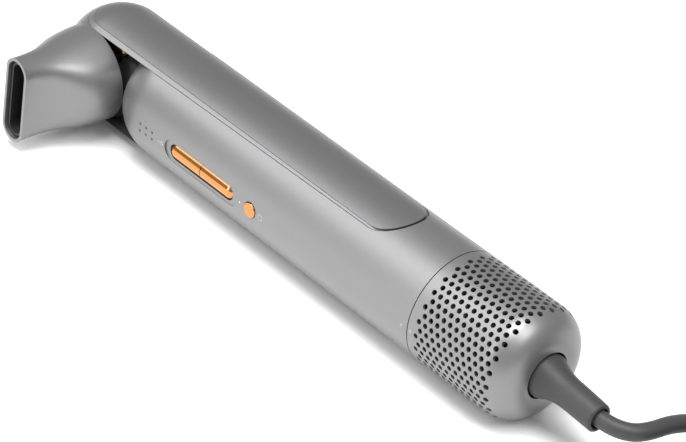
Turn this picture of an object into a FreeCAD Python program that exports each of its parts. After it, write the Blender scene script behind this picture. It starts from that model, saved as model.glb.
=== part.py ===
"""Folding hair dryer with a slim round grip, a swivelling flat nozzle and a lead.

Units are millimetres. The model is drawn about the head's pivot: +X runs down the grip to the
lead, the nozzle points along -Y and the pivot axis is +Z. The dryer lies on its side, and
`write` moves every piece so that the origin is under the middle of the dryer on that surface.
"""
import FreeCAD, Part
import math
import os

V = FreeCAD.Vector
X, Y, Z = V(1, 0, 0), V(0, 1, 0), V(0, 0, 1)

# ---- Driving dimensions ----
GRIP_R = 22.5          # grip, arms and inlet cover share this radius
WALL = 1.8             # moulded wall of the grip
CAP_END_X = 237.5      # flat end of the inlet cover
SEAM_X = 190.7         # joint between the grip and the inlet cover
MOUTH_Y = -50.9        # mouth of the nozzle
RIM_Y = -14.15         # back rim of the head's barrel
BARREL_R = 19.0        # barrel of the head
ARM_END_X = 155.5      # centre of an arm's round far end
SEAM_Z = 19.35         # height of the seam between an arm and its cover
ARM_Z = 18.0           # lower edge of an arm at the pivot
ARM_SLOPE = 0.0055     # how much an arm's lower edge rises for each millimetre of length
DOME_LEN = 18.25       # rounded front end of the grip
DOME_DROP = 13.5
DOME_X = 19.15         # where the rounded front end would close to a flat face
DUCT_R = 14.5          # air duct inside the grip
DRUM_R = 13.2          # black drum that the head turns on
CORD_D = 6.4           # lead

ORIGIN = V((CAP_END_X - GRIP_R) / 2, (GRIP_R + MOUTH_Y) / 2, -GRIP_R)


# ---- Helpers ----
def write(name, shape):
    """Move a piece from the pivot frame to the part frame and export it."""
    moved = shape.copy()
    moved.translate(-ORIGIN)
    moved.exportStep("parts/" + name + ".step")
    solids = moved.Solids
    volume = sum(s.Volume for s in solids)
    print(f"{name:26s} {len(solids):3d} solid(s) {volume:10.1f} mm3  valid {moved.isValid()}")


def rod(radius, start, end, axis=X, centre=(0, 0)):
    """Round bar along an axis between two coordinates; centre is the other two coordinates."""
    a, b = centre
    base = {0: V(start, a, b), 1: V(a, start, b), 2: V(a, b, start)}
    index = (X, Y, Z).index(axis)
    return Part.makeCylinder(radius, end - start, base[index], axis)


def pipe(outer, inner, start, end, axis=X, centre=(0, 0)):
    return rod(outer, start, end, axis, centre).cut(rod(inner, start - 1, end + 1, axis, centre))


def box(x0, x1, y0, y1, z0, z1):
    return Part.makeBox(x1 - x0, y1 - y0, z1 - z0, V(x0, y0, z0))


def join(shapes):
    """Fuse a list of shapes into one."""
    shapes = list(shapes)
    return shapes[0].multiFuse(shapes[1:]).removeSplitter()


def group(shapes):
    """Keep identical loose pieces in one node as separate solids."""
    return Part.Compound(list(shapes))


def mirrored(shape):
    """The same piece on the lower arm."""
    return shape.mirror(V(0, 0, 0), Z)


def slot(half_x, half_z, end_r, y, centre_x=0.0, centre_z=0.0):
    """Closed wire in an XZ plane: a rectangle with round ends of radius end_r."""
    x, z, r = half_x, half_z, end_r
    k = r * (1 - math.sqrt(0.5))

    def p(px, pz):
        return V(centre_x + px, y, centre_z + pz)

    edges = []
    corners = [(1, 1), (-1, 1), (-1, -1), (1, -1)]
    for i, (sx, sz) in enumerate(corners):
        side = p(sx * x, sz * (z - r))
        top = p(sx * (x - r), sz * z)
        middle = p(sx * (x - k), sz * (z - k))
        first, last = (side, top) if sx * sz > 0 else (top, side)
        edges.append(Part.Arc(first, middle, last).toShape())
        nx, nz = corners[(i + 1) % 4]
        after = p(nx * (x - r), nz * z) if sz == nz else p(nx * x, nz * (z - r))
        if last.distanceToPoint(after) > 1e-6:
            edges.append(Part.LineSegment(last, after).toShape())
    return Part.Wire(edges)


def slot_block(half_x, half_z, end_r, y0, y1, centre_x=0.0, centre_z=0.0):
    """Prism along Y with a slot outline."""
    face = Part.Face(slot(half_x, half_z, end_r, y0, centre_x, centre_z))
    return face.extrude(V(0, y1 - y0, 0))


def plan_block(end_r, z0, z1, grow=0.0):
    """Plan outline of an arm: open towards the pivot, round at its far end."""
    bar = box(-40, ARM_END_X, -end_r - 20, end_r + 20, z0, z1)
    return join([bar, rod(end_r + grow, z0, z1, Z, (ARM_END_X, 0))])


def capsule(radius, end_x):
    """Round bar along X with a spherical end at the pivot."""
    return join([rod(radius, 0, end_x), Part.makeSphere(radius)])


def above_arm_edge(offset):
    """Everything above an arm's sloping lower edge."""
    x0, x1, top = -60.0, 260.0, 60.0
    points = [V(x0, -60, ARM_Z + offset + ARM_SLOPE * x0), V(x1, -60, ARM_Z + offset + ARM_SLOPE * x1),
              V(x1, -60, top), V(x0, -60, top)]
    face = Part.Face(Part.makePolygon(points + points[:1]))
    return face.extrude(V(0, 120, 0))


def revolve_x(points_and_arcs):
    """Turn a closed profile in the XY plane about X."""
    face = Part.Face(Part.Wire(points_and_arcs))
    return face.revolve(V(0, 0, 0), X, 360)


def line(a, b):
    return Part.LineSegment(V(*a, 0), V(*b, 0)).toShape()


def dome_edge(inset):
    """Quarter ellipse of the grip's rounded front end, moved inwards by a wall."""
    centre = V(DOME_X + DOME_LEN, GRIP_R - DOME_DROP, 0)
    ellipse = Part.Ellipse(centre, DOME_LEN - inset, DOME_DROP - inset)
    return Part.ArcOfEllipse(ellipse, math.pi / 2, math.pi)


# ---- Grip ----
BAR_X = (58.2, 94.5)        # the two speed and heat buttons in line
BAR_HALF_W = 3.0
POWER_X = 104.9             # round power button
LAMP_X = (40.4, 43.9, 47.5)
LAMP_Z = 1.45
STATUS_X = 99.0
INLET_LIP_X = 185.0         # where the inlet frame starts inside the grip
FRONT_HOLE_R = 13.0
FLAT_Z = 16.3               # inside of the flats that the arms lie on


def grip_blank(inset, end_x):
    """Solid of revolution inside the grip's outline by inset."""
    arc = dome_edge(inset)
    front, shoulder = arc.EndPoint, arc.StartPoint
    radius = GRIP_R - inset
    return revolve_x([
        arc.toShape(),
        line((shoulder.x, radius), (end_x, radius)), line((end_x, radius), (end_x, 0)),
        line((end_x, 0), (front.x, 0)), line((front.x, 0), (front.x, front.y)),
    ])


def make_grip():
    outer = grip_blank(0, SEAM_X - 0.2)
    arm_bed = above_arm_edge(-0.15).common(plan_block(12.5, 0, 40))
    outer = outer.cut(arm_bed).cut(mirrored(arm_bed))
    hollow = grip_blank(WALL, SEAM_X + 5)
    roof = box(0, 170, -30, 30, FLAT_Z, 30)
    hollow = hollow.cut(roof).cut(mirrored(roof))
    body = outer.cut(hollow).cut(rod(FRONT_HOLE_R, DOME_X - 5, DOME_X + 12))
    recess_mid = (55.1 + 97.4) / 2
    body = body.cut(slot_block(97.4 - recess_mid, 4.6, 4.6, -30, -21.9, recess_mid))
    bar_mid = sum(BAR_X) / 2
    body = body.cut(slot_block(BAR_X[1] - bar_mid + 0.25, BAR_HALF_W + 0.25, BAR_HALF_W + 0.25,
                               -30, -15, bar_mid))
    body = body.cut(rod(3.25, -30, -15, Y, (POWER_X, 0)))
    holes = [rod(0.55, -30, -15, Y, (x, z)) for x in LAMP_X for z in (-LAMP_Z, LAMP_Z)]
    holes.append(rod(0.45, -30, -15, Y, (STATUS_X, 0)))
    holes += [rod(1.03, -30, 30, Z, (x, 0)) for x in ARM_SCREW_X]
    return body.cut(Part.Compound(holes))


# ---- Arms that carry the head ----
ARM_SCREW_X = (44.0, 96.0, 148.0)
CORE_HALF_W = 7.0           # raised spine of an arm, inside its cover
CORE_TOP_Z = 20.6
PIN_R = 3.0
DETENT_AT = (0.0, 9.5)


def arm_spine(half_w, top):
    bar = box(0, ARM_END_X - 4, -half_w, half_w, ARM_Z, top)
    ends = [rod(half_w, ARM_Z, top, Z, (x, 0)) for x in (0, ARM_END_X - 4)]
    return join([bar] + ends)


def make_arm():
    plate = capsule(GRIP_R, 175).common(plan_block(12.35, 0, 40)).common(above_arm_edge(0))
    plate = plate.cut(box(-40, 200, -40, 40, SEAM_Z - 0.1, 60))
    arm = join([plate, arm_spine(CORE_HALF_W, CORE_TOP_Z).common(above_arm_edge(0))])
    for x in ARM_SCREW_X:
        arm = arm.cut(rod(1.1, 0, 40, Z, (x, 0))).cut(rod(2.1, 19.6, 40, Z, (x, 0)))
    arm = arm.cut(rod(PIN_R, 0, 40, Z)).cut(rod(4.5, 19.6, 40, Z))
    return arm.cut(rod(0.95, 0, SEAM_Z + 1, Z, DETENT_AT))


def make_arm_cover():
    shell = capsule(GRIP_R, 175).common(plan_block(11.5, 0, 40))
    shell = shell.cut(box(-40, 200, -40, 40, -40, SEAM_Z))
    pocket = arm_spine(CORE_HALF_W + 0.3, CORE_TOP_Z + 0.25)
    return shell.cut(pocket)


def make_hinge_pin():
    return join([rod(PIN_R, 12.2, 19.7, Z), rod(4.4, 19.6, 20.5, Z)])


def make_washer():
    return pipe(7.0, PIN_R + 0.1, 17.35, 17.95, Z)


def make_arm_screws():
    def screw(x):
        return join([rod(1.0, 16.0, 20.0, Z, (x, 0)), rod(1.95, 19.62, 20.5, Z, (x, 0))])
    return group(screw(x) for x in ARM_SCREW_X)


def make_detent():
    ball = Part.makeSphere(0.9, V(DETENT_AT[0], DETENT_AT[1], 18.3))
    return ball


# ---- Head: drum, neck and outlet ----
BONNET_HALF_W = 13.6        # just behind the nozzle's rim
BONNET_TOP_Z = 17.75
DRUM_HALF_H = 17.3
FLANGE_R = 17.3
COLLAR_R = 15.0
COLLAR_BORE = 13.6


def make_head_hub():
    drum = rod(DRUM_R, -DRUM_HALF_H, DRUM_HALF_H, Z)
    neck = rod(9.6, RIM_Y - 1.2, 0, Y)
    flange = rod(FLANGE_R, RIM_Y - 2.3, RIM_Y - 0.8, Y)
    bosses = [rod(5.5, 12.0, DRUM_HALF_H, Z), rod(5.5, -DRUM_HALF_H, -12.0, Z)]
    hollow = rod(DRUM_R - 1.4, -DRUM_HALF_H + 1.5, DRUM_HALF_H - 1.5, Z)
    hub = join([drum, neck, flange]).cut(hollow).cut(rod(8.2, -40, 0, Y))
    hub = join([hub] + bosses)
    # The window meets the grip's duct both with the nozzle square to the grip and folded straight.
    window = join([box(0, 30, -8.5, 30, -9, 9), box(-8.5, 30, 0, 30, -9, 9)])
    hub = hub.cut(window)
    hub = hub.cut(rod(PIN_R + 0.05, 11, 20, Z)).cut(rod(PIN_R + 0.05, -20, -11, Z))
    return hub


def make_head_bonnet():
    """Spherical skin that closes the head's back between the arms, on a rib from the drum."""
    skin = Part.makeSphere(GRIP_R).cut(Part.makeSphere(GRIP_R - 1.6))
    skin = skin.common(box(-30, -2, -BONNET_HALF_W, BONNET_HALF_W, -BONNET_TOP_Z, BONNET_TOP_Z))
    rib = box(-21.8, 0, -1.2, 1.2, -10, 10)
    return join([skin, rib]).cut(rod(DRUM_R, -20, 20, Z))


def make_drum_ring():
    return pipe(DRUM_R + 0.25, DRUM_R, 11.6, 13.2, Z)


def make_outlet_collar():
    tube = pipe(COLLAR_R, COLLAR_BORE, -24.0, RIM_Y - 2.35, Y)
    back = pipe(COLLAR_R, 9.7, RIM_Y - 3.6, RIM_Y - 2.35, Y)
    return join([tube, back])


def make_outlet_grille():
    rings = [pipe(r, r - 0.8, -22.6, -21.4, Y) for r in (COLLAR_BORE, 10.2, 6.8, 3.4)]
    spokes = []
    for k in range(6):
        bar = box(-0.5, 0.5, -22.6, -21.4, 2.8, COLLAR_BORE - 0.4)
        bar.rotate(V(0, 0, 0), Y, 60 * k)
        spokes.append(bar)
    return join(rings + spokes)


def make_collar_steel():
    return pipe(COLLAR_R, COLLAR_BORE, -25.0, -24.02, Y)


def make_nozzle_magnets():
    return pipe(14.9, 12.2, -27.0, -25.3, Y)


# Sections of the nozzle, from the barrel's rim to the mouth: distance from the pivot,
# half height along the pivot axis and half width across it.
NOZZLE_SECTIONS = [
    (14.15, BARREL_R, 18.99), (19.2, 18.8, 18.75), (24.4, 18.35, 18.0), (29.6, 17.95, 15.6),
    (34.8, 17.75, 11.7), (40.0, 17.85, 8.5), (45.4, 18.15, 6.8), (50.9, 18.6, 6.2),
]
NOZZLE_TURN = 4.0           # the magnets hold the nozzle at any angle; it rests slightly round


def nozzle_loft(inset, first, last, overrun=0.0):
    """Skin through the nozzle's sections, moved inwards, between two distances from the pivot."""
    wires = []
    for distance, half_z, half_x in NOZZLE_SECTIONS:
        if distance in (NOZZLE_SECTIONS[0][0], NOZZLE_SECTIONS[-1][0]):
            distance += overrun if distance > 30 else -overrun
        wires.append(slot(half_x - inset, half_z - inset, half_x - inset - 0.01, -distance))
    loft = Part.makeLoft(wires, True, False).common(box(-40, 40, -last, -first, -40, 40))
    loft.rotate(V(0, 0, 0), Y, NOZZLE_TURN)
    return loft


def make_nozzle_shell():
    return nozzle_loft(0, 10, 60).cut(nozzle_loft(1.2, 10, 60, overrun=1.0))


def make_nozzle_liner():
    tube = nozzle_loft(2.0, 28.6, 49.6).cut(nozzle_loft(2.9, 10, 60))
    flange = pipe(14.0, 12.4, -28.7, -27.3, Y)
    return join([tube, flange])


# ---- Controls ----
BOARD_Y = (-16.8, -15.6)
SWITCH_TOP_Y = -18.8
CAP_TOP_Y = -22.9
FLANGE_Y = (-20.2, -19.5)
BUTTON_GAP = 0.3
CONTACT_X = (67.2, 85.5)    # switches under the two halves of the bar


def bar_cap(x0, x1, round_left):
    """One half of the long bar: round at its outer end, square at the split."""
    mid = (BAR_X[0] + BAR_X[1]) / 2
    whole = slot_block(BAR_X[1] - mid, BAR_HALF_W, BAR_HALF_W - 0.01, CAP_TOP_Y, FLANGE_Y[1], mid)
    ends = [BAR_X[0] + BAR_HALF_W, BAR_X[1] - BAR_HALF_W]
    domed = join([rod(3.6, ends[0], ends[1], X, (CAP_TOP_Y + 3.6, 0))]
                 + [Part.makeSphere(3.6, V(x, CAP_TOP_Y + 3.6, 0)) for x in ends])
    slab = box(BAR_X[0] - 5, BAR_X[1] + 5, CAP_TOP_Y + 2.0, 0, -8, 8)
    cap = whole.common(join([domed, slab])).common(box(x0, x1, -40, 0, -10, 10))
    pad_x0 = x0 - 0.5 if round_left else x0
    pad_x1 = x1 if round_left else x1 + 0.5
    pad = box(pad_x0, pad_x1, FLANGE_Y[0], FLANGE_Y[1], -3.7, 3.7)
    contact = CONTACT_X[0] if round_left else CONTACT_X[1]
    stem = rod(1.2, FLANGE_Y[0], SWITCH_TOP_Y - 0.55, Y, (contact, 0))
    return join([cap, pad, stem])


def make_power_button():
    cap = rod(3.0, CAP_TOP_Y, FLANGE_Y[0] + 0.1, Y, (POWER_X, 0))
    rim = max(cap.Edges, key=lambda e: -e.CenterOfMass.y + (0 if len(e.Vertexes) > 1 else 5))
    cap = cap.makeFillet(0.35, [rim])
    pad = rod(3.9, FLANGE_Y[0], FLANGE_Y[1], Y, (POWER_X, 0))
    stem = rod(1.2, FLANGE_Y[0], SWITCH_TOP_Y - 0.55, Y, (POWER_X, 0))
    return join([cap, pad, stem])


def make_button_board():
    return box(37, 110, BOARD_Y[0], BOARD_Y[1], -8.5, 8.5)


def make_switches():
    def switch(x):
        case = box(x - 3, x + 3, -18.3, BOARD_Y[0], -3, 3)
        plunger = rod(1.0, SWITCH_TOP_Y, -18.2, Y, (x, 0))
        return join([case, plunger])
    return group(switch(x) for x in CONTACT_X + (POWER_X,))


def make_lamp_pipes():
    outside = capsule(GRIP_R - 0.05, 60)
    pins = [rod(0.45, -24, -19.5, Y, (x, z)).common(outside) for x in LAMP_X for z in (-LAMP_Z, LAMP_Z)]
    plate = box(LAMP_X[0] - 2, LAMP_X[2] + 2, -20.2, -19.0, -3.2, 3.2)
    return join([plate] + pins)


def make_status_lamp():
    return rod(0.4, -22.4, BOARD_Y[0], Y, (STATUS_X, 0))


# ---- Air path, heater and electronics inside the grip ----
HEATER_X = (52.0, 104.0)


def make_duct():
    tube = pipe(DUCT_R, DUCT_R - 1.0, 34, 116)
    front = pipe(12.7, 11.4, 10.7, 35).cut(rod(DRUM_R + 0.6, -20, 20, Z))
    step = pipe(DUCT_R, 11.4, 33.2, 35)
    return join([tube, front, step])


def make_heater_frame():
    x0, x1 = HEATER_X
    plates = [box(x0, x1, -13.2, 13.2, -0.4, 0.4), box(x0, x1, -0.4, 0.4, -13.2, 13.2)]
    return join(plates).cut(Part.Compound(
        [pipe(10.6, 9.4, x - 0.7, x + 0.7) for x in heater_turns()]))


def heater_turns():
    x0, x1 = HEATER_X
    count = 12
    return [x0 + 4 + (x1 - x0 - 8) * k / (count - 1) for k in range(count)]


def make_heater_coil():
    turns = [Part.makeTorus(10.0, 0.45, V(x, 0, 0), X) for x in heater_turns()]
    side = 10.0 * math.sqrt(0.5)
    bus = rod(0.5, HEATER_X[0] + 3.5, HEATER_X[1] - 3.5, X, (side, side))
    return join(turns + [bus])


def make_thermostat():
    body = box(106, 112, -3.5, 3.5, -2.0, 2.0)
    legs = [rod(0.4, 104.2, 106.5, X, (y, 0)) for y in (-2.5, 2.5)]
    struts = [rod(0.8, 2.0, DUCT_R - 1.0, Z, (109, 0)), rod(0.8, -DUCT_R + 1.0, -2.0, Z, (109, 0))]
    return join([body] + legs + struts)


def make_control_board():
    return box(44, 116, 15.1, 16.3, -9.5, 9.5)


def make_ion_module():
    return box(48, 74, 16.35, 19.2, -6.0, 6.0)


def make_board_parts():
    capacitor = rod(1.9, 80, 93, X, (18.3, 0))
    choke = box(96, 104, 16.35, 19.4, -4, 4)
    chip = box(106, 113, 16.35, 17.8, -5, 5)
    return group([capacitor, choke, chip])


def make_ion_needles():
    def needle(z):
        body = rod(0.8, 24.5, 31.0, X, (0, z))
        tip = Part.makeCone(0.8, 0.1, 4.0, V(24.5, 0, z), V(-1, 0, 0))
        post = box(28, 30, -0.8, 0.8, min(z, math.copysign(11.4, z)), max(z, math.copysign(11.4, z)))
        return join([body, tip, post])
    return group(needle(z) for z in (-6.0, 6.0))


# ---- Motor and fan ----
SHROUD_R = 15.7
HUB_R = 8.6
MOTOR_X = (130.0, 156.0)
FAN_X = (157.0, 167.0)


def make_motor_housing():
    x0, x1 = MOTOR_X
    shroud = pipe(SHROUD_R, SHROUD_R - 0.9, x0, FAN_X[1] + 2)
    hub = pipe(HUB_R, HUB_R - 0.9, x0, x1 - 0.5)
    ends = [pipe(HUB_R, 3.6, x0, x0 + 1.2), pipe(HUB_R, 3.6, x1 - 1.7, x1 - 0.5)]
    seats = [pipe(4.4, 3.6, x0, x0 + 4.0), pipe(4.4, 3.6, x1 - 4.5, x1 - 0.5)]
    vanes = []
    for k in range(9):
        vane = box(x0 + 2, x1 - 3, -0.5, 0.5, HUB_R - 0.4, SHROUD_R - 0.4)
        vane.rotate(V(x0, 0, 0), X, 40 * k)
        vanes.append(vane)
    return join([shroud, hub] + ends + seats + vanes)


def make_bearing(x0):
    return pipe(3.6, 1.55, x0, x0 + 2.4)


def make_stator():
    ring = pipe(HUB_R - 0.95, HUB_R - 2.2, 137, 149)
    teeth = []
    for k in range(3):
        tooth = box(137, 149, -1.1, 1.1, 3.9, HUB_R - 2.0)
        tooth.rotate(V(0, 0, 0), X, 120 * k)
        teeth.append(tooth)
    shoes = pipe(4.3, 3.5, 137, 149)
    return join([ring, shoes] + teeth)


def make_windings():
    coils = []
    for k in range(3):
        outer = box(136, 150, -2.3, 2.3, 4.45, 5.85)
        coil = outer.cut(box(136.9, 149.1, -1.15, 1.15, 4, 7))
        coil.rotate(V(0, 0, 0), X, 120 * k)
        coils.append(coil)
    return group(coils)


def make_rotor_magnet():
    return pipe(3.2, 1.5, 137.5, 148.5)


def make_shaft():
    return rod(1.5, 131.0, 165.0)


def make_impeller():
    x0, x1 = FAN_X
    hub = Part.makeCone(7.6, 4.0, x1 - x0, V(x0, 0, 0), X)
    blades = []
    for k in range(11):
        blade = box(x0 + 0.4, x1 - 1.0, -0.45, 0.45, 3.0, 14.3)
        blade.rotate(V(x0 + 5, 0, 0), Z, 24)
        blade.rotate(V(0, 0, 0), X, 360.0 * k / 11)
        blades.append(blade)
    wheel = join([hub] + blades).common(rod(14.3, x0, x1))
    return wheel.cut(rod(1.5, x0 - 1, x1 - 2))


LEAD_WIRES = (-2.2, 2.2)
LEAD_Y = 17.4


def make_motor_mount(x0, end_x):
    """Rubber ring between the motor shroud and the grip, with notches for the wires."""
    ring = rod(GRIP_R - WALL - 0.05, x0, end_x)
    ring = ring.common(box(x0 - 1, end_x + 1, -30, 30, -FLAT_Z + 0.05, FLAT_Z - 0.05))
    ring = ring.cut(rod(SHROUD_R, x0 - 1, end_x + 1))
    return ring.cut(slot_passage(x0, end_x))


def slot_passage(x0, x1):
    return box(x0 - 1, x1 + 1, LEAD_Y - 1.4, LEAD_Y + 1.4, -3.8, 3.8)


def make_supply_wires():
    """Two insulated wires from the strain relief past the motor to the control board."""
    def wire(z):
        start, bend_a, bend_b = V(222.5, 0, z), V(212, 0, z), V(198, LEAD_Y, z)
        return pipe_along([start, bend_a, bend_b, V(117.0, LEAD_Y, z)], 1.0)
    return group(wire(z) for z in LEAD_WIRES)


# ---- Inlet ----
HOLE_R = 1.0
HOLE_PITCH = 3.175
HOLE_ROWS = 48
FIRST_HOLE_X = 195.2
COVER_WALL = 1.3
CAP_FILLET = 11.25
CAP_HOLE_R = 9.2


def make_inlet_cover():
    def outline(inset, x_in, x_out):
        r, f = GRIP_R - inset, CAP_FILLET - inset
        c = V(CAP_END_X - CAP_FILLET, GRIP_R - CAP_FILLET, 0)
        mid = V(c.x + f * math.sqrt(0.5), c.y + f * math.sqrt(0.5), 0)
        arc = Part.Arc(V(c.x, r, 0), mid, V(c.x + f, c.y, 0)).toShape()
        return revolve_x([line((x_in, 0), (x_in, r)), line((x_in, r), (c.x, r)), arc,
                          line((c.x + f, c.y), (c.x + f, 0)), line((c.x + f, 0), (x_in, 0))])
    cover = outline(0, SEAM_X + 0.2, 0).cut(outline(COVER_WALL, SEAM_X - 5, 0))
    cover = cover.cut(rod(CAP_HOLE_R, CAP_END_X - 5, CAP_END_X + 5))
    drills = []
    for row in range(HOLE_ROWS):
        drills += row_of_drills(row * 360.0 / HOLE_ROWS, row % 2 == 1)
    return cover.cut(Part.Compound(drills))


def row_of_drills(angle, short_row):
    """Drills through the cover's wall, in one row along it."""
    count = 11 if short_row else 12
    start = FIRST_HOLE_X + (HOLE_PITCH / 2 if short_row else 0)
    drills = []
    for k in range(count):
        drill = rod(HOLE_R, -GRIP_R - 1, -GRIP_R + 3, Y, (start + k * HOLE_PITCH, 0))
        drill.rotate(V(0, 0, 0), X, angle)
        drills.append(drill)
    return drills


def make_filter():
    return pipe(19.6, 19.1, 193.7, 231.0)


FRAME_END_X = 231.5


def make_inlet_frame():
    ring = pipe(GRIP_R - WALL - 0.05, 18.7, INLET_LIP_X, 193.6)
    ribs = []
    for k in range(4):
        rib = box(192, FRAME_END_X + 1, 16.0, 18.9, -2.0, 2.0)
        rib.rotate(V(0, 0, 0), X, 45 + 90 * k)
        ribs.append(rib)
    disc = pipe(17.0, 8.6, FRAME_END_X, FRAME_END_X + 2.2)
    bosses = []
    for y in (-14.0, 14.0):
        bosses.append(rod(2.2, FRAME_END_X - 5, FRAME_END_X + 0.2, X, (y, 0)))
    frame = join([ring, disc] + ribs + bosses)
    for y in (-14.0, 14.0):
        frame = frame.cut(rod(1.03, FRAME_END_X - 6, FRAME_END_X + 1, X, (y, 0)))
    return frame


def make_clamp_plate():
    plate = box(FRAME_END_X - 6.6, FRAME_END_X - 5.1, -16.5, 16.5, -4.5, 4.5)
    plate = plate.cut(rod(3.6, 200, 240))
    for y in (-14.0, 14.0):
        plate = plate.cut(rod(1.1, 200, 240, X, (y, 0)))
    return plate


def make_clamp_screws():
    def screw(y):
        head = rod(1.9, FRAME_END_X - 7.9, FRAME_END_X - 6.6, X, (y, 0))
        return join([head, rod(1.0, FRAME_END_X - 6.8, FRAME_END_X - 0.5, X, (y, 0))])
    return group(screw(y) for y in (-14.0, 14.0))


# ---- Lead ----
RELIEF_TIP_X = 263.5
RELIEF_BORE_R = 4.2
RELIEF_BORE_DEPTH = 4.0


def make_strain_relief():
    """Rubber sleeve: flange inside the frame, wide foot, hollow flare, then a nearly straight tail."""
    foot_r, tail_r, tip_r = 8.3, 6.5, 6.2
    x0, x1, x2 = FRAME_END_X - 4.9, FRAME_END_X - 0.1, CAP_END_X + 1.0
    flare = Part.BSplineCurve()
    flare.interpolate([V(x2, foot_r, 0), V(x2 + 3.5, 7.45, 0), V(x2 + 8, tail_r + 0.15, 0),
                       V(x2 + 12, tail_r, 0)])
    end = RELIEF_TIP_X
    corner = 0.9
    tip = Part.Arc(V(end - corner, tip_r, 0),
                   V(end - corner * (1 - math.sqrt(0.5)), tip_r - corner * (1 - math.sqrt(0.5)), 0),
                   V(end, tip_r - corner, 0)).toShape()
    sleeve = revolve_x([
        line((x0, 0), (x0, 11.0)), line((x0, 11.0), (x1, 11.0)), line((x1, 11.0), (x1, foot_r)),
        line((x1, foot_r), (x2, foot_r)), flare.toShape(),
        line((x2 + 12, tail_r), (end - corner, tip_r)), tip,
        line((end, tip_r - corner), (end, 0)), line((end, 0), (x0, 0)),
    ])
    return sleeve.cut(rod(RELIEF_BORE_R, end - RELIEF_BORE_DEPTH, end + 1))


# Route of the lead outside the coil, as corners of a smooth line: out of the strain relief, a
# bend to the side, down to the surface and on to the coil.
EXIT_X = RELIEF_TIP_X - RELIEF_BORE_DEPTH
REST_Z = -GRIP_R + CORD_D / 2 + 0.1
LEAD_ROUTE = [
    (EXIT_X, 0.0, 0.0), (268.0, 0.0, 0.0), (275.7, 3.9, -1.0), (279.6, 12.0, -2.6),
    (279.0, 23.5, -6.0), (279.4, 36.0, -11.2), (284.6, 47.8, -16.4), (292.2, 56.6, REST_Z + 0.2),
    (300.6, 62.2, REST_Z),
]
COIL_MID_R = 33.0
COIL_TURNS_HIGH = 4
COIL_CENTRE = (331.0, 38.0)


def pipe_along(points, radius):
    """Round bar along straight runs joined by tangent arcs; prints each arc's radius."""
    points = [V(*p) for p in points]
    edges, at, radii = [], points[0], []
    for before, corner, after in zip(points, points[1:], points[2:]):
        run_in, run_out = corner - before, after - corner
        half_turn = run_in.getAngle(run_out) / 2
        reach = 0.45 * min(run_in.Length, run_out.Length)
        arc_r = reach / math.tan(half_turn)
        u, w = V(run_in).normalize(), V(run_out).normalize()
        a, b = corner - u * reach, corner + w * reach
        centre_way = (w - u).normalize()
        centre = corner + centre_way * (arc_r / math.cos(half_turn))
        middle = centre - centre_way * arc_r
        edges += [Part.LineSegment(at, a).toShape(), Part.Arc(a, middle, b).toShape()]
        at = b
        radii.append(round(arc_r, 1))
    edges.append(Part.LineSegment(at, points[-1]).toShape())
    path = Part.Wire(edges)
    start = Part.Wire(Part.Circle(points[0], points[1] - points[0], radius).toShape())
    solid = path.makePipeShell([start], True, False)
    want = math.pi * radius ** 2 * path.Length
    print(f"  bar: length {path.Length:.1f}, volume {solid.Volume:.0f} of {want:.0f}, arc radii {radii}")
    return solid


def make_coil():
    """Outer shape of the wound part of the lead: two turns wide and four high."""
    outer, inner = COIL_MID_R + CORD_D, COIL_MID_R - CORD_D
    z0 = -GRIP_R + 0.1
    return pipe(outer, inner, z0, z0 + CORD_D * COIL_TURNS_HIGH, Z, COIL_CENTRE)


PLUG_TOP_Z = -GRIP_R + 0.1 + CORD_D * COIL_TURNS_HIGH
PLUG_REAR = (COIL_CENTRE[0] + 22.0, COIL_CENTRE[1] + 14.0)   # where the lead goes into the plug
PLUG_THICK = 13.7
PLUG_TAIL = 10.0
PLUG_LENGTH = 30.0


def make_plug_body():
    """Flat two-pin plug lying on the coil, with a short round tail for the lead."""
    x, y = PLUG_REAR[0], PLUG_REAR[1] - PLUG_TAIL
    outline = [(-6.5, 0), (6.5, 0), (17.0, 13.0), (17.0, PLUG_LENGTH), (-17.0, PLUG_LENGTH), (-17.0, 13.0)]
    points = [V(x + dx, y - dy, PLUG_TOP_Z) for dx, dy in outline]
    body = Part.Face(Part.makePolygon(points + points[:1])).extrude(V(0, 0, PLUG_THICK))
    upright = [e for e in body.Edges if abs(e.Vertexes[0].Z - e.Vertexes[1].Z) > 1]
    body = body.makeFillet(2.5, upright)
    tail = rod(4.6, y - 1, y + PLUG_TAIL, Y, (x, PLUG_TOP_Z + PLUG_THICK / 2))
    return join([body, tail])


def make_plug_pins():
    x, front = PLUG_REAR[0], PLUG_REAR[1] - PLUG_TAIL - PLUG_LENGTH
    return group(rod(2.0, front - 19, front, Y, (x + dx, PLUG_TOP_Z + PLUG_THICK / 2))
                 for dx in (-9.5, 9.5))


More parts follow.
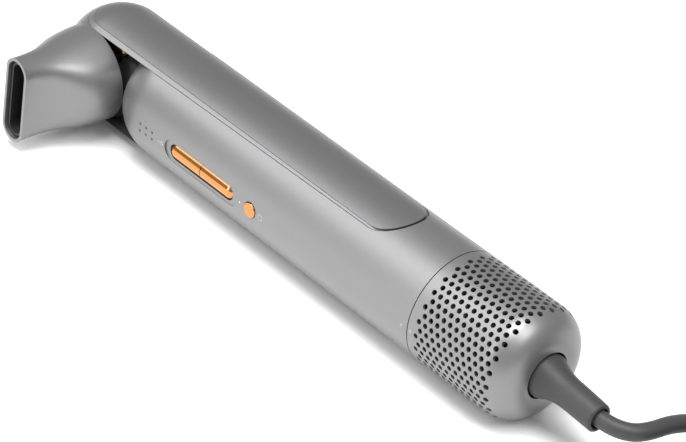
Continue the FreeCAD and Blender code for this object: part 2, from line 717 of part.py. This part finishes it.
# ---- Write every piece ----
def main_pieces():
    mid = (BAR_X[0] + BAR_X[1]) / 2
    pieces = {
        "grip_shell": make_grip(),
        "arm_upper": make_arm(),
        "arm_cover_upper": make_arm_cover(),
        "hinge_pin_upper": make_hinge_pin(),
        "thrust_washer_upper": make_washer(),
        "arm_screws_upper": make_arm_screws(),
        "detent_ball_upper": make_detent(),
    }
    for name in list(pieces)[1:]:
        pieces[name.replace("upper", "lower")] = mirrored(pieces[name])
    pieces.update({
        "head_hub": make_head_hub(),
        "head_bonnet": make_head_bonnet(),
        "drum_ring": make_drum_ring(),
        "outlet_collar": make_outlet_collar(),
        "outlet_grille": make_outlet_grille(),
        "collar_steel_ring": make_collar_steel(),
        "nozzle_magnet_ring": make_nozzle_magnets(),
        "nozzle_shell": make_nozzle_shell(),
        "nozzle_liner": make_nozzle_liner(),
        "button_heat": bar_cap(BAR_X[0], mid - BUTTON_GAP / 2, True),
        "button_speed": bar_cap(mid + BUTTON_GAP / 2, BAR_X[1], False),
        "button_power": make_power_button(),
        "button_board": make_button_board(),
        "switches": make_switches(),
        "lamp_pipes": make_lamp_pipes(),
        "status_lamp": make_status_lamp(),
        "air_duct": make_duct(),
        "heater_frame": make_heater_frame(),
        "heater_coil": make_heater_coil(),
        "thermostat": make_thermostat(),
        "control_board": make_control_board(),
        "ion_module": make_ion_module(),
        "board_parts": make_board_parts(),
        "ion_needles": make_ion_needles(),
        "motor_housing": make_motor_housing(),
        "bearing_front": make_bearing(131.4),
        "bearing_rear": make_bearing(152.0),
        "stator": make_stator(),
        "windings": make_windings(),
        "rotor_magnet": make_rotor_magnet(),
        "motor_shaft": make_shaft(),
        "impeller": make_impeller(),
        "motor_mount_front": make_motor_mount(132.0, 136.0),
        "motor_mount_rear": make_motor_mount(158.0, 162.0),
        "supply_wires": make_supply_wires(),
        "inlet_frame": make_inlet_frame(),
        "filter_sleeve": make_filter(),
        "inlet_cover": make_inlet_cover(),
        "clamp_plate": make_clamp_plate(),
        "clamp_screws": make_clamp_screws(),
        "strain_relief": make_strain_relief(),
        "lead": pipe_along(LEAD_ROUTE, CORD_D / 2),
        "lead_coil": make_coil(),
        "plug_body": make_plug_body(),
        "plug_pins": make_plug_pins(),
    })
    return pieces


os.makedirs("parts", exist_ok=True)
for piece_name, piece in main_pieces().items():
    write(piece_name, piece)
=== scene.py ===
"""Looks of a slim folding hair dryer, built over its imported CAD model. Units are metres."""
import bpy
import math
import numpy as np
from mathutils import Matrix, Vector


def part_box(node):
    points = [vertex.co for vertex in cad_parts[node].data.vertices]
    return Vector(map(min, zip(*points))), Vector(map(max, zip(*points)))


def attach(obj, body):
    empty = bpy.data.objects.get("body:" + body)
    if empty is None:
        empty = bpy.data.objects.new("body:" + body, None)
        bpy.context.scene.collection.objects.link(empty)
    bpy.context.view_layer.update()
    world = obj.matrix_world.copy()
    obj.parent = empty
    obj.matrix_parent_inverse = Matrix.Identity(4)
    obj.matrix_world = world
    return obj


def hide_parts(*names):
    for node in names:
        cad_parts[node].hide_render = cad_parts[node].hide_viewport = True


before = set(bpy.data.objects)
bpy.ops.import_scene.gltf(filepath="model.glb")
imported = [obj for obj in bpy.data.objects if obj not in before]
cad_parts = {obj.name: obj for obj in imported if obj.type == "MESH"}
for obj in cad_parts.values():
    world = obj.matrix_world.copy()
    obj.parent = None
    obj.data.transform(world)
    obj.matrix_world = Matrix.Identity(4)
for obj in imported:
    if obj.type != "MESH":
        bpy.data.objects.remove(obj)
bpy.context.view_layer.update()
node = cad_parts
MM = 0.001


# ---- The bench, the camera and the lights ----
# The dryer lies on its side on a pale bench. Places below are in millimetres from the point
# where the folding axis crosses the grip's centre line, and `at` turns them into the frame.
grip_low, grip_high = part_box("grip_shell")
pin_low, pin_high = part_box("hinge_pin_upper")
GRIP_R = (grip_high.z - grip_low.z) / 2 / MM
PIVOT = np.array([(pin_low.x + pin_high.x) / 2, (pin_low.y + pin_high.y) / 2,
                  (grip_low.z + grip_high.z) / 2])


def at(points):
    """Millimetres from the pivot to metres in the frame, for one point or an array of them."""
    return PIVOT + np.asarray(points, float) * MM


def aim_matrix(place, back, roll=0):
    """Placement of a camera or lamp whose back points along `back`, turned by roll degrees."""
    back = Vector(back).normalized()
    level = Vector((0, 0, 1)).cross(back).normalized()
    rise = back.cross(level)
    turn = math.radians(roll)
    right = level * math.cos(turn) + rise * math.sin(turn)
    up = back.cross(right)
    turned = Matrix((right, up, back)).transposed().to_4x4()
    turned.translation = Vector(place)
    return turned


# The camera stands above the bench on the buttons' side, towards the lead, with a long lens. Its
# distance is in metres, its roll in degrees and its focal length in millimetres.
VIEW_BACK = (0.5885, -0.5690, 0.5744)
VIEW_ROLL = 5.83
VIEW_AIM = (107.9, 21.8, -20.7)
VIEW_DISTANCE = 1.172
VIEW_LENS = 165.43
camera = bpy.data.objects.new("camera", bpy.data.cameras.new("camera"))
bpy.context.scene.collection.objects.link(camera)
camera.data.sensor_width = 36.0
camera.data.lens = VIEW_LENS
camera.data.clip_end = 20.0
camera_place = Vector(at(VIEW_AIM)) + Vector(VIEW_BACK).normalized() * VIEW_DISTANCE
camera.matrix_world = aim_matrix(camera_place, VIEW_BACK, VIEW_ROLL)
bpy.context.scene.camera = camera


def soft_box(name, place, size, power, target=(100, 0, 0)):
    """Area lamp at a place in millimetres, facing a target: size in metres, power in watts."""
    lamp = bpy.data.objects.new(name, bpy.data.lights.new(name, "AREA"))
    bpy.context.scene.collection.objects.link(lamp)
    lamp.data.shape = "RECTANGLE"
    lamp.data.size, lamp.data.size_y = size
    lamp.data.energy = power
    place, target = at(place), at(target)
    lamp.matrix_world = aim_matrix(place, place - target)


soft_box("top_box", (150, -300, 1500), (1.0, 0.7), 24)
soft_box("side_box", (-620, -620, 940), (0.9, 0.7), 6)
soft_box("front_box", (-300, -1300, 500), (0.5, 0.9), 6)
soft_box("cord_end_box", (950, -50, 1080), (0.5, 0.5), 7, target=(230, 0, 0))

# A white room round the bench adds an even light, and the view adds no film curve to the colours.
world = bpy.data.worlds.new("room")
bpy.context.scene.world = world
world.use_nodes = True
room = world.node_tree.nodes["Background"]
room.inputs["Color"].default_value = (1.0, 1.0, 1.0, 1.0)
room.inputs["Strength"].default_value = 0.50
bpy.context.scene.view_settings.view_transform = "Standard"


# ---- Shader wrappers, first needed for the bench ----
# A finish is one material. Sums and products of a Value add Math nodes, and `add` makes any
# other node.
class Value:
    """One number that changes over a surface."""

    def __init__(self, finish, socket):
        self.finish, self.socket = finish, socket

    def __add__(self, other):
        return self.finish.add("ShaderNodeMath", {"operation": "ADD"}, [self, other])

    def __mul__(self, other):
        return self.finish.add("ShaderNodeMath", {"operation": "MULTIPLY"}, [self, other])

    __radd__, __rmul__ = __add__, __mul__


class Finish:
    """One material with its Principled shader; keyword words set that shader's own sockets."""

    def __init__(self, name, **sockets):
        self.material = bpy.data.materials.new(name)
        self.material.use_nodes = True
        self.tree = self.material.node_tree
        self.shader = self.tree.nodes["Principled BSDF"]
        for word, value in sockets.items():
            label = word.replace("_", " ").title().replace("Ior", "IOR")
            self.shader.inputs[label].default_value = value

    def add(self, kind, settings=None, inputs=(), out=0):
        """Make a node: its settings first, then its sockets by name or by order."""
        made = self.tree.nodes.new(kind)
        for word, value in (settings or {}).items():
            setattr(made, word, value)
        pairs = inputs.items() if isinstance(inputs, dict) else enumerate(inputs)
        for key, value in pairs:
            if isinstance(value, Value):
                self.tree.links.new(value.socket, made.inputs[key])
            else:
                made.inputs[key].default_value = value
        return Value(self, made.outputs[out])

    def feed(self, word, value):
        """Join a value to one of the shader's own sockets."""
        self.tree.links.new(value.socket, self.shader.inputs[word])

    def place(self):
        """Object coordinates, which are the frame's metres."""
        return self.add("ShaderNodeTexCoord", out="Object")

    def noise(self, scale, detail=3.0, stretch=(1, 1, 1)):
        """Cloudy noise between 0 and 1; a stretch under 1 draws it out along that axis."""
        spot = self.add("ShaderNodeMapping", inputs={"Vector": self.place(), "Scale": stretch})
        return self.add("ShaderNodeTexNoise", inputs={"Vector": spot, "Scale": scale, "Detail": detail})

    def blend(self, amount, first, second):
        """Colour that goes from first to second as amount goes from 0 to 1. A Mix node has sockets
        for each kind of data: 0 is the amount, 6, 7 and output 2 are the colours."""
        return self.add("ShaderNodeMix", {"data_type": "RGBA"},
                        {0: amount, 6: (*first, 1.0), 7: (*second, 1.0)}, out=2)

    def bump(self, height, strength, distance):
        """Feed a height in 0..1 to the shader's normal; distance is in metres."""
        sizes = {"Height": height, "Strength": strength, "Distance": distance}
        self.feed("Normal", self.add("ShaderNodeBump", inputs=sizes))

    def on(self, *names):
        """Give this finish to CAD nodes."""
        for name in names:
            mesh = node[name].data
            mesh.materials.clear()
            mesh.materials.append(self.material)


def grid_mesh(name, points, finish, wrap=True, close=False):
    """Smooth mesh from a grid of points (rows, columns, 3), with a face between each four
    neighbours. Columns wrap round unless told not to, and rows may close too."""
    rows, columns = points.shape[:2]
    index = np.arange(rows * columns).reshape(rows, columns)
    here, right = index, np.roll(index, -1, axis=1)
    if not wrap:
        here, right = index[:, :-1], index[:, 1:]
    below, below_right = np.roll(here, -1, axis=0), np.roll(right, -1, axis=0)
    last = None if close else -1
    faces = np.stack([here, right, below_right, below], -1)[:last].reshape(-1, 4)
    mesh = bpy.data.meshes.new(name)
    mesh.from_pydata(points.reshape(-1, 3).tolist(), [], faces.tolist())
    mesh.polygons.foreach_set("use_smooth", np.ones(len(mesh.polygons), bool))
    mesh.materials.append(finish.material)
    piece = bpy.data.objects.new(name, mesh)
    bpy.context.scene.collection.objects.link(piece)
    return piece


BENCH_HALF = 6.0
bench_finish = Finish("bench_white", roughness=0.65)
bench_cloud = bench_finish.noise(3.0)
bench_finish.feed("Base Color", bench_finish.blend(bench_cloud, (0.93, 0.93, 0.93), (0.96, 0.96, 0.96)))
bench_span = np.linspace(-BENCH_HALF, BENCH_HALF, 13)
bench_x, bench_y = np.meshgrid(bench_span, bench_span)
bench_top = np.stack([bench_x, bench_y, np.zeros_like(bench_x)], -1)
bench = grid_mesh("bench", bench_top, bench_finish, wrap=False)


# ---- The lead ----
# A rubber mains lead leaves the strain relief, bends to the side as it drops to the bench, and
# the rest is wound in a round coil, two turns wide and four high, with the plug lying on it.
CORD_R = 3.2
BENCH_GAP = 0.1
REST_Z = -GRIP_R + CORD_R + BENCH_GAP
LEAD_ROUTE = [
    (260.0, 0.0, -1.4), (266.5, 0.2, -2.0), (274.3, 3.6, -2.2), (277.0, 10.5, -2.8),
    (277.0, 21.0, -4.4), (278.2, 34.0, -9.0), (284.2, 47.0, -15.0), (292.5, 56.4, REST_Z + 0.3),
    (302.5, 63.3, REST_Z),
]
COIL_X, COIL_Y = 331.0, 38.0
OUTER_TURN_R, INNER_TURN_R = 36.2, 29.8
COIL_LAYERS = 4
COIL_START = 120
STEP_SHARE = 0.125
COIL_TOP = -GRIP_R + BENCH_GAP + 2 * COIL_LAYERS * CORD_R
PLUG_THICK = 13.7
PLUG_X, PLUG_REAR_Y, PLUG_Z = COIL_X + 22.0, COIL_Y + 14.0, COIL_TOP + PLUG_THICK / 2


def coil_points(per_turn=20, turns=7.85):
    """Turns of the coil, wound outer then inner in one layer and inner then outer in the next. The
    radius changes within a layer and the height between layers, over the last part of a turn."""
    t = np.arange(0, int(turns * per_turn)) / per_turn
    whole, part = np.floor(t), t % 1.0
    ease = np.clip((part - (1 - STEP_SHARE)) / STEP_SHARE, 0, 1)

    def inner(turn):
        return np.isin(turn % 4, (1, 2)).astype(float)

    inward = inner(whole) * (1 - ease) + inner(whole + 1) * ease
    layer = np.floor(whole / 2) * (1 - ease) + np.floor((whole + 1) / 2) * ease
    radius = OUTER_TURN_R + (INNER_TURN_R - OUTER_TURN_R) * inward
    angle = math.radians(COIL_START) - 2 * math.pi * t
    return np.stack([COIL_X + radius * np.cos(angle), COIL_Y + radius * np.sin(angle),
                     REST_Z + 2 * CORD_R * layer], -1)


def round_coil(degrees, height):
    """A point over the outer turn, at that height above the lead's centre in the top layer."""
    turn = math.radians(degrees)
    return (COIL_X + OUTER_TURN_R * math.cos(turn), COIL_Y + OUTER_TURN_R * math.sin(turn),
            COIL_TOP - CORD_R + height)


to_plug = [round_coil(155, 1.0), round_coil(137, 4.2), round_coil(120, 7.2), round_coil(104, 9.2),
           (COIL_X + 4.0, COIL_Y + 36.2, PLUG_Z), (COIL_X + 14.0, COIL_Y + 34.0, PLUG_Z),
           (COIL_X + 20.5, COIL_Y + 27.0, PLUG_Z), (PLUG_X, PLUG_REAR_Y + 3.0, PLUG_Z),
           (PLUG_X, PLUG_REAR_Y - 4.0, PLUG_Z)]
MOULD_GRAIN = 0.0002


def moulded_rubber(name, dark, light, grain_scale, cloud_scale, spread, rough, depth):
    """Rubber with slow clouds in its colour and a fine grain, which adds its spread to rough."""
    made = Finish(name, specular_ior_level=0.4)
    grain = made.noise(grain_scale, 4.0)
    made.feed("Base Color", made.blend(made.noise(cloud_scale), dark, light))
    made.feed("Roughness", grain * spread + rough)
    made.bump(grain, depth, MOULD_GRAIN)
    return made


rubber = moulded_rubber("grey_lead_rubber", (0.034, 0.034, 0.035), (0.046, 0.046, 0.047),
                        grain_scale=900.0, cloud_scale=45.0, spread=0.16, rough=0.42, depth=0.12)

line = bpy.data.curves.new("lead_line", "CURVE")
line.dimensions = "3D"
run = line.splines.new("NURBS")
route = at(np.vstack([LEAD_ROUTE, coil_points(), to_plug]))
run.points.add(len(route) - 1)
run.points.foreach_set("co", np.hstack([route, np.ones((len(route), 1))]).ravel())
run.order_u = 3
run.use_endpoint_u = True
run.resolution_u = 6
line.bevel_depth = CORD_R * MM
line.bevel_resolution = 5
line.use_fill_caps = True
line.materials.append(rubber.material)
lead = bpy.data.objects.new("lead_cable", line)
bpy.context.scene.collection.objects.link(lead)
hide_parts("lead", "lead_coil")
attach(lead, "grip")


# ---- The strain relief ----
# A moulded rubber sleeve: a wide foot in the inlet cover's hole, a hollow flare, a slim tail
# that hangs a little, and a rounded end with a bore that the lead comes out of.
FOOT_X, FLARE_X, SAG_X, TAIL_X, TIP_X = 232.0, 238.5, 240.0, 250.5, 263.5
FOOT_R, TAIL_R, TAIL_TAPER = 8.4, 5.6, 0.25
TIP_CORNER = 1.0
RELIEF_SAG = 1.8
POLE_R = 0.02


def relief_surface(around=64):
    """A profile of radius against distance is turned about a centre line. The radius falls from
    the foot's to the tail's with the power 2.2 along the flare, then tapers evenly, and the
    centre line sags with the power 1.6 of the distance."""
    outer_x = np.concatenate([np.linspace(FOOT_X, FLARE_X, 6), np.linspace(FLARE_X + 0.5, TAIL_X, 22),
                              np.linspace(TAIL_X + 1.5, TIP_X - 1.1, 8)])
    flare = np.clip((outer_x - FLARE_X) / (TAIL_X - FLARE_X), 0, 1)
    taper = np.clip((outer_x - TAIL_X) / (TAIL_X - FLARE_X), 0, 1)
    outer_r = TAIL_R + (FOOT_R - TAIL_R) * (1 - flare) ** 2.2 - TAIL_TAPER * taper
    corner = np.linspace(0, math.pi / 2, 7)[1:]
    tip_x = TIP_X - TIP_CORNER + TIP_CORNER * np.sin(corner)
    tip_r = outer_r[-1] - TIP_CORNER + TIP_CORNER * np.cos(corner)
    bore_x = TIP_X - np.array([0.0, 0.15, 0.6, 4.0, 4.2])
    bore_r = np.array([4.25, 4.0, 3.9, 3.8, POLE_R])
    x = np.concatenate([[FOOT_X], outer_x, tip_x, bore_x])
    r = np.concatenate([[POLE_R], outer_r, tip_r, bore_r])
    angle = np.linspace(0, 2 * math.pi, around, endpoint=False)
    sag = -RELIEF_SAG * np.clip((x - SAG_X) / (TIP_X - SAG_X), 0, 1) ** 1.6
    grid = np.empty((len(x), around, 3))
    grid[..., 0] = x[:, None]
    grid[..., 1] = r[:, None] * np.cos(angle)
    grid[..., 2] = sag[:, None] + r[:, None] * np.sin(angle)
    return at(grid)


relief_finish = moulded_rubber("strain_relief_rubber", (0.032, 0.032, 0.033), (0.044, 0.044, 0.045),
                               grain_scale=700.0, cloud_scale=60.0, spread=0.18, rough=0.44, depth=0.15)
relief = grid_mesh("relief_sleeve", relief_surface(), relief_finish)
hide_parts("strain_relief")
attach(relief, "grip")


# ---- The plug ----
# A flat two-pin plug, moulded in the lead's rubber round two plated pins. It lies on the coil,
# and with the strain relief it goes with the lead as one cord.
rubber.on("plug_body")
pin_plate = Finish("plug_pin_plate", metallic=1.0)
pin_plate.feed("Base Color", pin_plate.blend(pin_plate.noise(120.0), (0.62, 0.60, 0.54), (0.75, 0.73, 0.68)))
pin_plate.feed("Roughness", pin_plate.noise(300.0, stretch=(1, 0.1, 1)) * 0.2 + 0.2)
pin_plate.on("plug_pins")


# ---- The grip ----
# One moulded tube in satin metallic paint. Small printed marks follow its round side: a drop for
# the air flow, a ring for the power button, and a dot on each side of the inlet cover's seam.
FINE_GRAIN = 0.0001
SATIN_DARK, SATIN_LIGHT = (0.20, 0.20, 0.203), (0.245, 0.245, 0.248)
INK_LIFT, INK_SINK = 0.03, 0.01


def satin_paint(name, dark, light, rough):
    """Metallic paint: fine flake in colour and bump, with slow clouds in the gloss."""
    paint = Finish(name, metallic=0.75)
    flake = paint.noise(2600.0, 2.0)
    cloud = paint.noise(14.0, 3.0)
    paint.feed("Base Color", paint.blend(flake * 0.7 + cloud * 0.3, dark, light))
    paint.feed("Roughness", cloud * 0.06 + flake * 0.05 + rough)
    paint.bump(flake, 0.05, FINE_GRAIN)
    return paint


grip_paint = satin_paint("grip_satin_paint", SATIN_DARK, SATIN_LIGHT, 0.34)
grip_paint.on("grip_shell")
print_ink = Finish("print_ink", roughness=0.5)
ink_wear = print_ink.noise(3000.0, 2.0)
print_ink.feed("Base Color", print_ink.blend(ink_wear, (0.30, 0.30, 0.30), (0.40, 0.40, 0.40)))


def ring_mark(name, x, outer, inner=POLE_R, body="grip", squash=1.0):
    """A printed ring, or a dot if no inner radius is given, that follows the grip's round side. It
    is a thin closed skin: from the inner to the outer edge on top, then back underneath."""
    turn = np.linspace(0, 2 * math.pi, 40, endpoint=False)
    middle = (inner + outer) / 2
    reach = np.array([inner, middle, outer, outer, middle, inner])
    lift = np.array([INK_LIFT] * 3 + [0.0] * 3)
    dx, dz = np.outer(reach, np.cos(turn)), np.outer(reach, np.sin(turn)) * squash
    radius = GRIP_R + lift[:, None] - INK_SINK
    grid = np.stack([x + dx, -np.sqrt(radius ** 2 - dz ** 2), dz], -1)
    mark = grid_mesh(name, at(grid)[:, ::-1], print_ink, close=True)
    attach(mark, body)


ring_mark("mark_flow", 53.4, 0.9, 0.45)
ring_mark("mark_flow_tail", 51.6, 0.5, squash=0.6)
ring_mark("mark_power", 110.7, 1.35, 1.05)
ring_mark("mark_lock_grip", 187.6, 0.55)
ring_mark("mark_lock_cover", 192.4, 0.55, body="cover")


# ---- The arms ----
# Two long arms, screwed along the grip, hold the head between their front ends. They have the grip's
# paint, and the cover along each one has a slightly darker copy of it, which is painted shade for the
# covers' tops.
arm_paint = satin_paint("arm_satin_paint", SATIN_DARK, SATIN_LIGHT, 0.34)
arm_paint.on("arm_upper", "arm_lower")
# The covers get a darker copy of the arms' paint: painted shade for their upward faces, which get less
# light.
cover_shaded_paint = satin_paint("arm_cover_painted_shade_paint", (0.165, 0.165, 0.168), (0.205, 0.205, 0.208), 0.34)
cover_shaded_paint.on("arm_cover_upper", "arm_cover_lower")


# ---- The head ----
# A black drum under a painted bonnet turns on two steel pins between the arms. It carries the
# outlet collar, and the nozzle with its black liner is held on the collar by a ring magnet.
def dull_plastic(name, colour, rough, scale=800.0):
    """Moulded plastic with a fine spark-eroded grain, in a colour with clouds a little lighter."""
    plastic = Finish(name, specular_ior_level=0.4)
    grain = plastic.noise(scale, 4.0)
    lighter = tuple(min(1.0, c * 1.25 + 0.004) for c in colour)
    plastic.feed("Base Color", plastic.blend(plastic.noise(50.0), colour, lighter))
    plastic.feed("Roughness", grain * 0.15 + rough)
    plastic.bump(grain, 0.15, MOULD_GRAIN)
    return plastic


def bare_metal(name, colour, rough, stretch=(1, 1, 1)):
    """Metal with machining lines, which are darker; a stretch under 1 draws them out."""
    metal = Finish(name, metallic=1.0)
    lines = metal.noise(500.0, 4.0, stretch)
    darker = tuple(c * 0.82 for c in colour)
    metal.feed("Base Color", metal.blend(lines, darker, colour))
    metal.feed("Roughness", lines * 0.2 + rough)
    metal.bump(lines, 0.08, FINE_GRAIN)
    return metal


grip_paint.on("head_bonnet")
satin_paint("nozzle_satin_paint", SATIN_DARK, SATIN_LIGHT, 0.33).on("nozzle_shell")
dull_plastic("liner_black", (0.018, 0.018, 0.018), 0.38).on("nozzle_liner")
dull_plastic("drum_gloss_black", (0.010, 0.010, 0.010), 0.16).on("head_hub")
dull_plastic("collar_black", (0.014, 0.014, 0.014), 0.40).on("outlet_collar", "outlet_grille")
bare_metal("ring_magnet_nickel", (0.42, 0.42, 0.43), 0.30).on("nozzle_magnet_ring", "collar_steel_ring")
bare_metal("hinge_steel", (0.60, 0.60, 0.61), 0.25, (1, 1, 0.1)).on(
    "hinge_pin_upper", "hinge_pin_lower", "detent_ball_upper", "detent_ball_lower",
    "arm_screws_upper", "arm_screws_lower")
dull_plastic("washer_white", (0.75, 0.75, 0.72), 0.35).on("thrust_washer_upper", "thrust_washer_lower")


# ---- The buttons ----
# Polished copper plating over plastic: a bar in two halves and a round button behind it, over
# three switches on a small board; dark lamp pipes show in the six holes.
copper = Finish("polished_copper", metallic=1.0)
copper_cloud = copper.noise(90.0, 2.0)
copper.feed("Base Color", copper.blend(copper_cloud, (0.54, 0.22, 0.07), (0.60, 0.26, 0.09)))
copper.feed("Roughness", copper.noise(400.0, 3.0) * 0.05 + 0.12)
copper.on("button_heat", "button_speed", "button_power", "drum_ring", "ion_needles")
dull_plastic("lamp_smoke", (0.03, 0.03, 0.032), 0.2).on("lamp_pipes")
dull_plastic("status_lens", (0.70, 0.70, 0.70), 0.3).on("status_lamp")
dull_plastic("switch_black", (0.02, 0.02, 0.02), 0.35).on("switches")


# ---- Inside the grip ----
# Boards, air duct, mica frame with its heating wire, motor, fan and supply wires. They are seen
# only through the gaps and holes round them.
board = Finish("board_green")
board_lines = board.noise(160.0, 2.0, (1, 0.2, 1))
board.feed("Base Color", board.blend(board_lines, (0.02, 0.10, 0.045), (0.04, 0.17, 0.08)))
board.feed("Roughness", board_lines * 0.2 + 0.3)
board.on("button_board", "control_board")
dull_plastic("duct_black", (0.012, 0.012, 0.012), 0.40).on("air_duct", "inlet_frame", "clamp_plate")
dull_plastic("ion_module_black", (0.02, 0.02, 0.022), 0.35).on("ion_module", "board_parts")
dull_plastic("mica_sheet", (0.50, 0.40, 0.27), 0.45, 200.0).on("heater_frame")
dull_plastic("thermostat_white", (0.70, 0.70, 0.66), 0.40).on("thermostat")
bare_metal("heater_wire", (0.40, 0.36, 0.32), 0.35, (0.2, 1, 1)).on("heater_coil")
bare_metal("motor_alloy", (0.60, 0.60, 0.61), 0.30, (0.1, 1, 1)).on("motor_housing", "impeller")
bare_metal("motor_steel", (0.50, 0.50, 0.51), 0.28, (0.1, 1, 1)).on(
    "bearing_front", "bearing_rear", "stator", "motor_shaft", "rotor_magnet", "clamp_screws")
bare_metal("winding_copper", (0.70, 0.30, 0.13), 0.25, (0.1, 1, 1)).on("windings")
dull_plastic("mount_rubber", (0.02, 0.02, 0.02), 0.60).on("motor_mount_front", "motor_mount_rear")
dull_plastic("wire_sleeve_red", (0.16, 0.02, 0.015), 0.45).on("supply_wires")


# ---- The inlet ----
# A perforated cover in the grip's paint, with 48 rows of holes, stands over a dark woven filter
# sleeve and comes off to the rear.
satin_paint("inlet_satin_paint", SATIN_DARK, SATIN_LIGHT, 0.34).on("inlet_cover")
mesh_dark = Finish("filter_weave", metallic=0.6)
weave_spot = {"Vector": mesh_dark.place(), "Scale": 2500.0}
weave = mesh_dark.add("ShaderNodeTexChecker", inputs=weave_spot, out=1)
mesh_dark.feed("Base Color", mesh_dark.blend(weave, (0.006, 0.006, 0.006), (0.016, 0.016, 0.016)))
mesh_dark.feed("Roughness", weave * 0.2 + 0.5)
mesh_dark.on("filter_sleeve")
